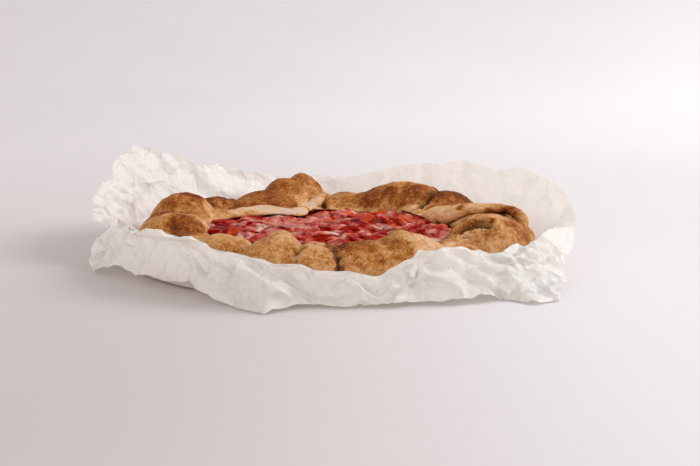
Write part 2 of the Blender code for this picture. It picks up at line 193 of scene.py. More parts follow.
def sheet_points(turn, along):
    """Points of the parchment and its creases: along runs from -1 at the edge of the
    flat middle to 0 at the knee, 1 at the fold and 2 at the free edge."""
    knee, fold_radius, fold_height, edge_radius, edge_height = (
        read_round(SHEET, turn, column, column < 4) for column in range(1, 6)
    )
    before, first, second = np.clip(along, -1, 0), np.clip(along, 0, 1), np.clip(along - 1, 0, 1)
    radius = knee + (knee - PARCHMENT_FLAT) * before
    radius = radius + (fold_radius - knee) * first + (edge_radius - fold_radius) * second
    height = KNEE_HEIGHT * (1 + before) + (fold_height - KNEE_HEIGHT) * first
    height = height + (edge_height - fold_height) * second
    ring = around(turn)
    spread = sheet_reach(turn, along)[..., None] * ring
    amount = np.clip(along, 0, 1)
    folded_over = np.clip(1.2 - np.abs((turn % 360) - FRONT_TURN) / FRONT_SPREAD, 0, 1)
    calm = 1 - FOLD_CALM * folded_over * np.clip(1 - np.abs(along - 1) / FRONT_REACH, 0, 1)
    creases = np.zeros(turn.shape)
    for size, deep, out_seed, up_seed, weight in CRUMPLES:
        share = read_round(CRUSHED, turn, weight)
        out, out_crease = crumple(spread, size, out_seed)
        up, up_crease = crumple(spread, size, up_seed)
        radius = radius + deep * share * amount * calm * out
        height = height + deep * share * amount * calm * up
        creases = np.maximum(creases, 0.6 * share * np.maximum(out_crease, up_crease))
    points = np.concatenate([radius[..., None] * ring, height[..., None]], axis=-1)
    relief, line = pressed_creases(spread, PRESSED_SEED)
    share = (0.35 + 0.65 * read_round(CRUSHED, turn, 2)) * amount
    points = points + (share * calm * relief)[..., None] * grid_normals(points)
    points[..., 2] = np.maximum(points[..., 2], np.where(along > 0, SHEET_LOWEST, 0))
    return points, np.maximum(creases, line) * share


def grid_mesh(name, grids):
    """One mesh of grids of points in millimetres. Each grid closes round, and its
    first and last rows are closed at their poles, where it has them."""
    corners, faces = [], []
    for points, first_pole, last_pole in grids:
        rows, turns = points.shape[:2]
        index = len(corners) + np.arange(rows * turns).reshape(rows, turns)
        after = np.roll(index, -1, axis=1)
        corners += (points.reshape(-1, 3) * MM).tolist()
        quads = np.stack([index[:-1], after[:-1], after[1:], index[1:]], axis=-1)
        faces += quads.reshape(-1, 4).tolist()
        for pole, row, following in (
            (first_pole, index[0], after[0]), (last_pole, after[-1], index[-1])
        ):
            if pole is not None:
                faces += [(int(b), int(a), len(corners)) for a, b in zip(row, following)]
                corners.append([value * MM for value in pole])
    mesh = bpy.data.meshes.new(name)
    mesh.from_pydata(corners, [], faces)
    mesh.shade_smooth()
    return mesh


def paint(mesh, name, values):
    """Keep one number for each of the mesh's points."""
    layer = mesh.attributes.new(name, "FLOAT", "POINT")
    full = np.zeros(len(mesh.vertices))
    full[:values.size] = values.ravel()
    layer.data.foreach_set("value", full)


def piece_of(name, mesh, material, node):
    """Show a mesh with this material in place of a node, which it hides."""
    mesh.materials.append(material)
    made = bpy.data.objects.new(name, mesh)
    bpy.context.scene.collection.objects.link(made)
    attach(made, "root")
    if node:
        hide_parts(node)
    return made


def tone(red, green, blue):
    """A colour from its values on a display, 0 to 255."""
    values = [value / 255 for value in (red, green, blue)]
    return tuple(((v + 0.055) / 1.055) ** 2.4 if v > 0.04 else v / 12.92 for v in values) + (1,)


class Flow:
    """A socket of a material's nodes. Sums and products of flows add Math nodes."""

    def __init__(self, tree, socket=None):
        self.tree, self.socket = tree, socket

    def add(self, kind, settings, inputs, output=0):
        """Add a node: its settings first, then the value or link of each socket."""
        node = self.tree.nodes.new(kind)
        for name, value in settings.items():
            if name == "stops":
                for stop, (place, colour) in zip(node.color_ramp.elements, value):
                    stop.position, stop.color = place, colour
                for place, colour in value[2:]:
                    node.color_ramp.elements.new(place).color = colour
            else:
                setattr(node, name, value)
        for name, value in inputs.items():
            if isinstance(value, Flow):
                self.tree.links.new(value.socket, node.inputs[name])
            else:
                node.inputs[name].default_value = value
        return Flow(self.tree, node.outputs[output] if node.outputs else None)

    def maths(self, operation, *values, clamp=False):
        settings = {"operation": operation, "use_clamp": clamp}
        return self.add("ShaderNodeMath", settings, dict(enumerate(values)))

    def __add__(self, other):
        return self.maths("ADD", self, other)

    def __sub__(self, other):
        return self.maths("SUBTRACT", self, other)

    def __rsub__(self, other):
        return self.maths("SUBTRACT", other, self)

    def __mul__(self, other):
        return self.maths("MULTIPLY", self, other)

    __radd__ = __add__
    __rmul__ = __mul__

    def ramp(self, low, high):
        """0 below low, 1 above high and eased between them."""
        inputs = {"Value": self, "From Min": low, "From Max": high}
        return self.add("ShaderNodeMapRange", {"interpolation_type": "SMOOTHSTEP"}, inputs)

    def mix(self, low, high):
        """From one colour to another by this share."""
        return self.add("ShaderNodeMix", {"data_type": "RGBA"}, {0: self, 6: low, 7: high}, 2)

    def attribute(self, name):
        return self.add("ShaderNodeAttribute", {"attribute_name": name}, {}, 2)

    def place(self):
        return self.add("ShaderNodeTexCoord", {}, {}, 3)

    def stretched(self, scale):
        return self.add("ShaderNodeMapping", {}, {"Vector": self, "Scale": scale})

    def grain(self, per_metre, detail=3.0, rough=0.55):
        inputs = {"Vector": self, "Scale": per_metre, "Detail": detail, "Roughness": rough}
        return self.add("ShaderNodeTexNoise", {}, inputs)

    def cracks(self, per_metre, wide):
        """1 on the straight edges between scattered cells, down to 0 inside them."""
        settings = {"feature": "DISTANCE_TO_EDGE"}
        edge = self.add("ShaderNodeTexVoronoi", settings, {"Vector": self, "Scale": per_metre})
        return 1 - edge.maths("MULTIPLY", edge, 1 / wide, clamp=True)

    def facets(self, per_metre, shift):
        """Flat facets with straight creases, as heights in squared cells."""
        inputs = {"Vector": self, "Scale": per_metre}
        first = self.add("ShaderNodeTexVoronoi", {}, inputs, 0)
        moved = (shift, 0.3 * shift, -0.7 * shift)
        inputs["Vector"] = self.add("ShaderNodeVectorMath", {}, {0: self, 1: moved})
        second = self.add("ShaderNodeTexVoronoi", {}, inputs, 0)
        return first * first - second * second

    def specks(self, per_metre, share, size):
        """1 in small round grains scattered at random, 0 between them."""
        inputs = {"Vector": self, "Scale": per_metre}
        away = self.add("ShaderNodeTexVoronoi", {}, inputs, 0)
        chosen = self.add("ShaderNodeTexVoronoi", {}, inputs, 1)
        chosen = self.add("ShaderNodeSeparateColor", {}, {"Color": chosen}, 0)
        return (1 - away.ramp(size * 0.6, size)) * chosen.maths("LESS_THAN", chosen, share)

    def near(self, centre, radius):
        """1 at a point in millimetres, down to 0 at this distance from it."""
        inputs = {0: self, 1: Vector(centre) * MM}
        away = self.add("ShaderNodeVectorMath", {"operation": "DISTANCE"}, inputs, 1)
        return 1 - away.ramp(0, radius * MM)

    def bump(self, depth):
        """Relief of this many millimetres, as a normal."""
        return self.add("ShaderNodeBump", {}, {"Height": self, "Distance": depth * MM, "Strength": 1.0})


def new_material(name):
    """A material with no nodes yet, and the flow that its nodes start from."""
    material = bpy.data.materials.new(name)
    material.use_nodes = True
    material.node_tree.nodes.clear()
    return material, Flow(material.node_tree)


def finish_material(flow, shader):
    flow.add("ShaderNodeOutputMaterial", {}, {"Surface": shader})


def principled(material, flow, inputs):
    """Finish a material that is one Principled shader, and return it."""
    finish_material(flow, flow.add("ShaderNodeBsdfPrincipled", {}, inputs))
    return material


PAPER_WHITE = tone(247, 242, 236)
PAPER_SHADE = tone(243, 238, 231)
PAPER_CREASE_AND_HIGHLIGHT = tone(255, 255, 255)
PAPER_GLOW = tone(254, 252, 249)
STAIN_ORANGE = tone(196, 124, 62)
STAIN_YELLOW = tone(205, 178, 128)
STAIN_BROWN = tone(120, 84, 52)


def parchment_material():
    material, flow = new_material("parchment")
    place = flow.place()
    cloud = place.grain(18, 4)
    fibre = place.grain(900, 2)
    crushed = flow.attribute("crushed")
    lines = place.cracks(42, 0.025) * place.grain(36, 2).ramp(0.42, 0.6)
    lines = lines.maths("MAXIMUM", lines, place.cracks(95, 0.04) * place.grain(50, 2).ramp(0.5, 0.62) * 0.8)
    colour = cloud.ramp(0.3, 0.75).mix(PAPER_SHADE, PAPER_WHITE)
    # Whiter lines along the creases: partly the paper's own whitened creases, partly painted highlight on
    # ridges that catch the light
    colour = (flow.attribute("crease").ramp(0.35, 0.9) * 0.9).mix(colour, PAPER_CREASE_AND_HIGHLIGHT)
    colour = (lines * crushed * 0.22).mix(colour, PAPER_CREASE_AND_HIGHLIGHT)
    folds = place.facets(42, 0.31) * 6 + place.facets(95, 0.17) * 2.5 + place.facets(200, 0.23) * 0.5
    folds = folds * crushed
    for tint, centre, radius in (
        (STAIN_ORANGE, (104, 100, 34), 5), (STAIN_YELLOW, (-84, -118, 4), 7),
        (STAIN_BROWN, (-118, -62, 30), 2.5), (STAIN_YELLOW, (118, -84, 16), 9),
    ):
        colour = (place.near(centre, radius) * place.grain(260).ramp(0.3, 0.6)).mix(colour, tint)
    relief = (fibre * 0.05 + place.grain(240, 3) * 0.12 + folds).bump(1.0)
    inputs = {"Base Color": colour, "Roughness": 0.62, "Normal": relief, "Coat Weight": 0.12}
    inputs["Coat Roughness"] = 0.4
    face = flow.add("ShaderNodeBsdfPrincipled", {}, inputs)
    glow = flow.add("ShaderNodeBsdfTranslucent", {}, {"Color": PAPER_GLOW, "Normal": relief})
    finish_material(flow, flow.add("ShaderNodeMixShader", {}, {0: 0.36, 1: face, 2: glow}))
    return material


turns = np.arange(SHEET_TURNS) * 360 / SHEET_TURNS
along = np.concatenate([
    -1 + np.arange(KNEE_ROWS) / KNEE_ROWS, 2 * np.arange(STANDING_ROWS + 1) / STANDING_ROWS
])
points, creases = sheet_points(*np.meshgrid(turns, along, indexing="xy"))
flat = [PARCHMENT_FLAT * row / FLAT_ROWS for row in range(1, FLAT_ROWS)]
flat = [np.column_stack([radius * around(turns), np.zeros(SHEET_TURNS)]) for radius in flat]
points = np.concatenate([flat, points])
creases = np.concatenate([np.zeros((FLAT_ROWS - 1, SHEET_TURNS)), creases])
parchment = grid_mesh("parchment_sheet", [(points, (0, 0, 0), None)])
paint(parchment, "crease", np.clip(creases, 0, 1))
crushed = np.repeat(read_round(CRUSHED, turns, 2)[None], len(points), axis=0)
crushed[: FLAT_ROWS + KNEE_ROWS - 1] = 0
paint(parchment, "crushed", np.clip(crushed, 0, 1.2))
piece_of("parchment_sheet", parchment, parchment_material(), "parchment")


# The crust: one round of wholemeal dough, brushed with milk and baked. Its border was
# folded over the fruit by hand in overlapping pleats, which puffed up in the oven and
# browned on their crests. A broad flap at the back left stayed pale.

DOUGH_UNDERSIDE = 0.9
DOUGH_BASE_TOP = 5.3
CORE_RADIUS = 101.0
CORE_HEIGHT = 12.0
RIM_WALL_RADIUS = 89.0
BELLY_OUT, BELLY_UP = 18.5, 9.0
RIM_DOWN = 11.4
CREASE_SOFTNESS = 1.1
LIP_THICK = 4.2
LIP_ROOT_RADIUS = 104.0
OVERHANG_TILT = 164.0
# Turn in degrees, radius of the dough's inner edge, height of its middle there, and
# how much it climbs outwards on each millimetre
LIP = (
    (0, 84, 18.5, 0.14), (14, 79, 19.5, 0.14), (24, 69, 21, 0.14), (36, 67, 22, 0.14),
    (44, 70, 21.5, 0.14), (50, 80, 17.5, 0.14), (65, 81, 15.2, 0.14), (84, 80, 15.8, 0.14),
    (91, 78, 17.2, 0.25), (97, 67, 18.2, 0.2), (103, 52, 20, 0.16), (110, 43, 19.6, 0.16),
    (116, 41, 19.4, 0.14), (124, 45, 20.2, 0.1), (132, 50, 21.2, 0.06), (140, 56, 20.8, 0.06),
    (147, 66, 20, 0.08), (155, 73, 19.6, 0.1), (163, 80, 19.4, 0.12), (180, 80, 18.5, 0.14),
    (205, 78, 18.5, 0.14), (225, 75, 19.5, 0.14), (240, 76, 19, 0.14), (256, 77, 20, 0.14),
    (264, 72, 23.4, 0.14), (271, 74, 22, 0.14), (278, 82, 18.5, 0.14), (300, 81, 18.5, 0.14),
    (318, 80, 18.6, 0.14), (333, 84, 18.8, 0.14), (346, 84, 19, 0.14),
)
# The pleats: turn, radius and height of the middle, half sizes across, up and along,
# how blunt the clockwise and counter-clockwise ends are, outward shift of the latter
PLEATS = (
    (9, 104, 12, 26, 15, 25, 3.5, 1.8, -10),  # under the sweep at the right
    (35, 102, 12, 24, 20.8, 23, 1.35, 4, -3),
    (32, 72, 20.5, 7, 4.4, 19, 2, 3.5, 3),  # its tongue, in on the fruit
    (61, 105, 12, 25, 22.8, 35, 3.6, 1.5, 0),  # the long roll at the back
    (80, 103, 12, 22, 12.8, 21, 2, 3.2, 0),
    (73, 104, 12, 23, 14.6, 13, 2, 2.4, 0),
    (100.5, 107, 12, 19, 27.3, 18, 1.8, 1.3, 0),  # the highest peak
    (105, 105, 12, 22, 23.5, 20, 2, 3.2, 0),
    (119, 96, 12, 23, 15, 25, 3, 2.4, 0),  # low, behind the pale flap
    (141, 101, 12, 23, 16.4, 15, 2.6, 2.4, 0),
    (160, 103, 12, 23, 24.5, 22, 1.7, 2.6, 0),
    (188, 99, 12, 25, 20, 26, 3, 2, 0),
    (209, 97, 12, 22, 13, 16, 1.6, 2, 0),
    (228, 97, 12, 23, 17, 21, 1.6, 4, 0),
    (252, 92, 12, 21, 22.2, 17, 1.6, 1.9, 0),  # the pointed one at the front
    (251, 96, 12, 23, 18, 19, 2.6, 2.2, 0),
    (266.5, 103, 12, 19, 16, 13, 3, 3, 0),  # the small dome
    (282.5, 97, 12, 23, 17.2, 20.5, 5, 3, 0),  # flat topped
    (298, 94, 12, 21, 22, 14, 2.6, 1.7, 0),  # the front peak and its long slope
    (300, 98, 12, 23, 20.5, 33, 2, 1.3, 2),
    (341, 105.5, 12, 27, 21, 31, 1.8, 2.6, 4),  # the curled lobe at the right
)
CRUST_TURNS = 600
OUTER_TILTS = np.linspace(-125, 140, 94)
EDGE_TILTS = np.concatenate([np.linspace(-17, 0.5, 22), (2, 5, 8)])
WALL_TILTS = (185, 210)


def smooth_max(a, b, soft):
    """The larger of two lengths, with the crease between them filled a little."""
    near = np.clip(1 - np.abs(a - b) / soft, 0, None)
    return np.maximum(a, b) + soft / 4 * near**2


def ellipse_reach(start_out, start_up, aim_out, aim_up):
    """How far rays run before they leave a unit circle, or 0 where they miss it."""
    a = aim_out**2 + aim_up**2
    b = start_out * aim_out + start_up * aim_up
    c = start_out**2 + start_up**2 - 1
    under_root = b * b - a * c
    reach = np.where(under_root > 0, (-b + np.sqrt(np.abs(under_root))) / a, 0)
    return np.maximum(reach, 0)


def lip_reach(turn, out, up):
    """How far rays in a section run to the far side of the lip, a thin blade."""
    edge, height, rise = (read_round(LIP, turn, column) for column in (1, 2, 3))
    half, half_up = (LIP_ROOT_RADIUS - edge) / 2, LIP_THICK / 2
    from_middle = CORE_RADIUS - (LIP_ROOT_RADIUS + edge) / 2
    drop = CORE_HEIGHT - (height + rise * (half + from_middle))
    return ellipse_reach(
        from_middle / half, drop / half_up, out / half, (up - rise * out) / half_up
    )


def pleat_reach(turn, out, up, pleat):
    """The same to the far side of one pleat, a puffed roll that lies along the rim."""
    at_turn, radius, height, half_across, half_up, half_along, first, last, shift = pleat
    away = (turn - at_turn + 180) % 360 - 180
    along = np.clip(CORE_RADIUS * np.radians(away) / half_along, -1, 1)
    blunt = np.where(along < 0, first, last)
    full = np.maximum(1 - np.abs(along) ** blunt, TINY) ** (1 / np.minimum(blunt, 2))
    across = half_across * np.sqrt(full)
    upwards = np.where(up < 0, min(half_up, RIM_DOWN), half_up) * full
    middle = radius + shift * along
    reach = ellipse_reach(
        (CORE_RADIUS - middle) / across, (CORE_HEIGHT - height) / upwards, out / across, up / upwards
    )
    return np.where(np.abs(along) < 1, reach, 0)


def undercut_tilt(turn):
    """The lowest ray that meets the dough's inner edge, over the fruit."""
    edge, height = read_round(LIP, turn, 1), read_round(LIP, turn, 2)
    lip_tilt = np.degrees(np.arctan2(height - CORE_HEIGHT, edge - CORE_RADIUS))
    return np.maximum(lip_tilt, OVERHANG_TILT)


def rim_reach(turn, tilt):
    """Distance from the core circle to the dough's surface, for each ray."""
    out, up = np.cos(np.radians(tilt)), np.sin(np.radians(tilt))
    lip = lip_reach(turn, out, up)
    half_up = np.where(up < 0, RIM_DOWN, BELLY_UP)
    reach = smooth_max(1 / np.sqrt((out / BELLY_OUT) ** 2 + (up / half_up) ** 2), lip, CREASE_SOFTNESS)
    for pleat in PLEATS:
        reach = smooth_max(reach, pleat_reach(turn, out, up, pleat), CREASE_SOFTNESS)
    floor = (CORE_HEIGHT - DOUGH_UNDERSIDE) / np.maximum(-up, TINY)
    reach = np.minimum(reach, np.where(up < 0, floor, np.inf))
    undercut = (tilt > undercut_tilt(turn)) & (lip == 0)
    wall = (CORE_RADIUS - RIM_WALL_RADIUS) / np.maximum(-out, TINY)
    return np.where(undercut, np.minimum(reach, wall), reach)


def section_points(turn, tilt, reach):
    """Points at these distances along the rays of a section."""
    radius = CORE_RADIUS + reach * np.cos(np.radians(tilt))
    height = CORE_HEIGHT + reach * np.sin(np.radians(tilt))
    return np.concatenate([radius[..., None] * around(turn), height[..., None]], axis=-1)


def ripple(points, size, octaves=3, offset=0.0):
    """Irregular waves of about this size in millimetres, between -1 and 1."""
    shifted = points.reshape(-1, 3) / size + offset
    values = [noise.fractal(point, 0.8, 2.1, octaves) for point in shifted.tolist()]
    return np.array(values).reshape(points.shape[:-1])


# How far the sections wander off true, in degrees round and across
TURN_DRIFT, TILT_DRIFT = 1.6, 5
PLAIN_RADIUS = 18.0
turn = np.arange(CRUST_TURNS) * 360 / CRUST_TURNS
tilt = [np.full(CRUST_TURNS, float(value)) for value in OUTER_TILTS]
tilt += [undercut_tilt(turn) + value for value in EDGE_TILTS]
tilt += [np.full(CRUST_TURNS, float(value)) for value in WALL_TILTS]
tilt = np.array(tilt)
turn = np.tile(turn, (len(tilt), 1))
plain = section_points(turn, tilt, np.full(turn.shape, PLAIN_RADIUS))
turn_drift = TURN_DRIFT * ripple(plain, 24, 2, 60.0)
tilt_drift = TILT_DRIFT * ripple(plain, 20, 2, 80.0)
free = np.clip((150 - tilt) / 20, 0, 1) * np.clip((tilt + 70) / 40, 0, 1)
dough = section_points(turn, tilt, rim_reach(turn + turn_drift * free, tilt + tilt_drift * free))
dough[-1, :, 2] = DOUGH_BASE_TOP
dough[-1, :, :2] = RIM_WALL_RADIUS * around(turn[-1])

# Folds and creases: how deep (or raised, where negative), how wide, how dark the
# painted shade inside them is, and points along the middle, in millimetres
CREASES = {
    "mouth_of_the_lobe": (
        7.5, 3.2, 1.0, ((82, -49.5, 27), (85, -48, 28.8), (89, -47, 30), (94, -47.5, 30), (99, -50, 29)),
    ),
    "lid_of_the_lobe": (
        -2.8, 3.6, 0, ((81, -45, 27), (84, -43, 29.5), (89, -41.5, 32), (95, -42, 33), (101, -46, 32)),
    ),
    "floor_of_the_mouth": (
        2.4, 1.5, 1.0, ((84, -52.3, 26.8), (88, -51.3, 28), (93, -51, 28.6), (98, -52.3, 28)),
    ),
    "lower_lip": (-2.4, 2.2, 0, ((79, -56.5, 23.5), (85, -54.8, 25.5), (92, -54.5, 26), (99, -56, 25.5))),
    "torn_end_of_the_mouth": (1.2, 0.9, 0.5, ((97, -47, 31), (101, -50, 30), (103, -55, 28))),
    "torn_strand": (1.0, 0.8, 0.4, ((95, -46, 31.5), (100, -47, 31), (105, -51, 29))),
    "under_the_belly": (6.0, 4.2, 1.0, ((72, -38, 21), (76, -35, 24.5), (79, -31, 27), (82, -29, 29))),
    "above_the_lobe": (3.0, 2.0, 0.8, ((82, -29, 29), (88, -29, 31.5), (94, -30, 33))),
    "beside_the_curl": (4.5, 2.6, 0.9, ((110, -10, 29), (117, -14, 28), (121, -18, 26), (125, -20, 24))),
    "end_of_the_roll": (
        6.0, 2.6, 1.0, ((79, 66, 32), (75, 58, 31), (70, 52, 28), (64, 47, 25), (59, 37, 23)),
    ),
    "left_of_the_roll": (3.0, 1.8, 0.8, ((-4, 88, 24), (-3, 82, 21), (-2, 79, 19))),
    "between_left_lumps": (2.4, 1.6, 0.5, ((-108, -15, 31), (-97, -11, 32), (-86, -6, 29), (-80, -2, 24))),
    "down_the_left_lump": (1.4, 1.0, 0.6, ((-97, -18, 31), (-97, -32, 27), (-96, -46, 22))),
    "beside_the_dome": (-2.2, 6.0, 0, ((-21, -98, 25), (-22, -108, 18))),
    "sugared_crease": (2.4, 1.4, 0.6, ((3, -94, 26), (3, -104, 27), (6, -111, 23), (6, -117, 16))),
    "behind_the_dome": (1.6, 1.4, 0.5, ((-18, -86, 26), (-14, -88, 27), (-4, -93, 28), (3, -100, 27))),
    "beside_the_peak": (1.0, 1.6, 0.3, ((38, -88, 33), (37, -95, 30))),
    "left_of_the_point": (1.8, 2.0, 0.3, ((-50, -74, 24), (-52, -84, 23), (-54, -96, 19))),
    "left_of_the_lobe": (1.5, 1.6, 0.5, ((66, -60, 21), (70, -66, 21), (76, -76, 18))),
}


def stroke(points, line):
    """How far each point is from a line of straight stretches."""
    away = np.full(points.shape[:-1], np.inf)
    for start, end in zip(np.array(line[:-1], float), np.array(line[1:], float)):
        along = end - start
        share = np.clip(((points - start) @ along) / (along @ along), 0, 1)
        from_line = points - start - share[..., None] * along
        away = np.minimum(away, np.linalg.norm(from_line, axis=-1))
    return away


showing = np.clip((dough[..., 2] - 4) / 6, 0, 1)
shaded = np.zeros(dough.shape[:-1])
for deep, wide, dark, line in CREASES.values():
    away = stroke(dough, line) + 0.5 * ripple(dough, 5, 2)
    pressed = np.clip(1.35 * (1 - (away / wide) ** 2), 0, 1)
    # Painted shade inside each crease, as dark as its row of the table says
    shaded = np.maximum(shaded, dark * np.clip(1.2 * (1 - (away / (1.3 * wide)) ** 2), 0, 1))
    deeper = section_points(turn, tilt, np.ones(turn.shape)) - section_points(turn, tilt, 0 * turn)
    dough = dough - (deep * pressed * showing)[..., None] * deeper
# Waves of the broad flap: height, half width and the points of its middle from above
FLAP_WAVES = (
    (1.4, 5.5, ((-64, 37), (-52, 43), (-44, 47), (-34, 45), (-26, 43), (-17, 47), (-10, 59), (-5, 74))),
    (-5.2, 9.0, ((-68, 52), (-54, 58), (-42, 62), (-31, 59), (-20, 63), (-13, 73), (-8, 82))),
    (1.6, 9.0, ((-53, 82), (-44, 84))),
    (-1.6, 5.0, ((-62, 72), (-66, 84))),
)
on_top = (tilt < undercut_tilt(turn) + 0.6) & (tilt > 60)
for rise, half, line in FLAP_WAVES:
    away = stroke(dough[..., :2], line) + 0.6 * ripple(dough, 9, 2)
    dough[..., 2] += rise * np.clip(1 - (away / half) ** 2, 0, 1) ** 2 * on_top


def smoothed(points, times, axes=(0, 1)):
    """A grid of points, each drawn towards its neighbours this many times."""
    for _ in range(times):
        for axis in axes:
            points = (np.roll(points, 1, axis) + 2 * points + np.roll(points, -1, axis)) / 4
    return points


dough = np.where((tilt > OVERHANG_TILT - 24)[..., None], smoothed(dough, 3, (1,)), dough)
outward = grid_normals(smoothed(dough, 2))
# Height of the swells, broad and fine, and of the wrinkles, and what is left at the lip
BROAD_SWELL, FINE_SWELL, WRINKLE, LEFT_AT_LIP = 0.8, 0.35, 0.6, 0.3
at_edge = np.where(tilt > undercut_tilt(turn) - 5, LEFT_AT_LIP, 1.0)
swell = BROAD_SWELL * ripple(dough, 15) + FINE_SWELL * ripple(dough, 5.5, 3, 7.0)
wrinkle = 1 - np.abs(2 * ripple(dough, 8, 2, 21.0))
wrinkle = WRINKLE * np.clip(wrinkle - 0.6, 0, None) * np.clip(0.5 + ripple(dough, 26, 1, 3.0), 0, 1)
dough = dough + (showing * at_edge * (swell - wrinkle))[..., None] * outward

# Rolled edges that lie over the pleats: points of the middle, half width and height
ROLLS = {
    "sweep": (
        (62, 27, 21.5, 2.5, 2.2), (70, 23, 22, 7.5, 6), (79, 18, 22.4, 8.5, 7.2), (90, 15, 26.4, 8, 5.4),
        (101, 14, 28.2, 7, 4.0), (112, 10, 29, 5.5, 3.3), (119, 4, 29.4, 4.4, 3), (123.5, -4, 28, 4, 3.2),
        (125.5, -12, 25.4, 3.4, 3.4), (125.5, -18, 22, 2.4, 3), (124.5, -23, 18, 1.2, 2),
    ),
    "end of the flap": (
        (-32, 60, 16.5, 2.5, 1.4), (-21, 66, 17, 6, 2.6), (-14, 74, 18.2, 6, 2.8), (-9, 80, 21, 5, 2.7),
        (-5, 86, 24.5, 4, 2.4), (-3, 91, 27, 2, 1.2),
    ),
}
ROLL_STEPS, ROLL_ROUND = 90, 44
ROLL_DARK, ROLL_SHADE_LEVEL = 0.95, 0.2  # how dark the painted shade under them is, and how much browner their lower sides are painted, as shade


def smooth_line(points, steps):
    """Points read from a smooth curve through a list of points."""
    points = np.array(points, float)
    spread = np.linspace(0, len(points) - 1, steps)
    low = np.minimum(spread.astype(int), len(points) - 2)
    share = (spread - low)[:, None]
    slopes = np.gradient(points, axis=0)
    a, b = points[low], points[low + 1]
    return (
        a * (1 + 2 * share) * (1 - share) ** 2 + b * share**2 * (3 - 2 * share)
        + slopes[low] * share * (1 - share) ** 2 - slopes[low + 1] * share**2 * (1 - share)
    )


def roll_points(path):
    """A roll of dough along a path, oval across and closed to blunt ends."""
    line = smooth_line(path, ROLL_STEPS)
    middle, wide, high = line[:, :3], line[:, 3:4], line[:, 4:5]
    ahead = np.gradient(middle, axis=0)
    ahead /= np.linalg.norm(ahead, axis=1, keepdims=True)
    across = np.cross(ahead, (0, 0, 1))
    across /= np.linalg.norm(across, axis=1, keepdims=True)
    upwards = np.cross(across, ahead)
    run = np.linspace(-1, 1, ROLL_STEPS)[:, None]
    full = np.sqrt(1 - np.abs(run) ** 10 * 0.98)
    angle = np.arange(ROLL_ROUND) * 2 * np.pi / ROLL_ROUND
    return (
        middle[:, None] + across[:, None] * (wide * full * np.cos(angle))[..., None]
        + upwards[:, None] * (high * full * np.sin(angle))[..., None]
    )


crust_grids = [(dough, (0, 0, DOUGH_UNDERSIDE), (0, 0, DOUGH_BASE_TOP))]
under, roll_shade_levels = np.zeros(2), np.zeros(2)
for path in ROLLS.values():
    roll = roll_points(path)
    level = (roll[..., 2] - roll[..., 2].min(axis=1, keepdims=True)) / np.ptp(roll[..., 2], axis=1)[:, None]
    level = level + 0.12 * ripple(roll, 6, 2)
    # Painted shade on each roll: dark along its underside, and browner over its lower half
    dark, shade_level = ROLL_DARK * np.clip(1.35 - 2.4 * level, 0, 1), ROLL_SHADE_LEVEL * np.clip(1.4 - 1.8 * level, 0, 1)
    under = np.concatenate([under, dark.ravel(), np.zeros(2)])
    roll_shade_levels = np.concatenate([roll_shade_levels, shade_level.ravel(), np.zeros(2)])
    roll = roll - (0.7 * ripple(roll, 12) + 0.3 * ripple(roll, 4.5, 2))[..., None] * grid_normals(roll)
    crust_grids.append((roll, roll[0].mean(axis=0), roll[-1].mean(axis=0)))
crust = grid_mesh("crust_dough", crust_grids)

# The level off the spots, what the crests add to it and over which heights, and how
# much a spot outweighs it
PLAIN_LEVEL, CREST_LEVEL, CREST_FROM, CREST_OVER = 0.42, 0.35, 16, 18
SPOT_WEIGHT = 4
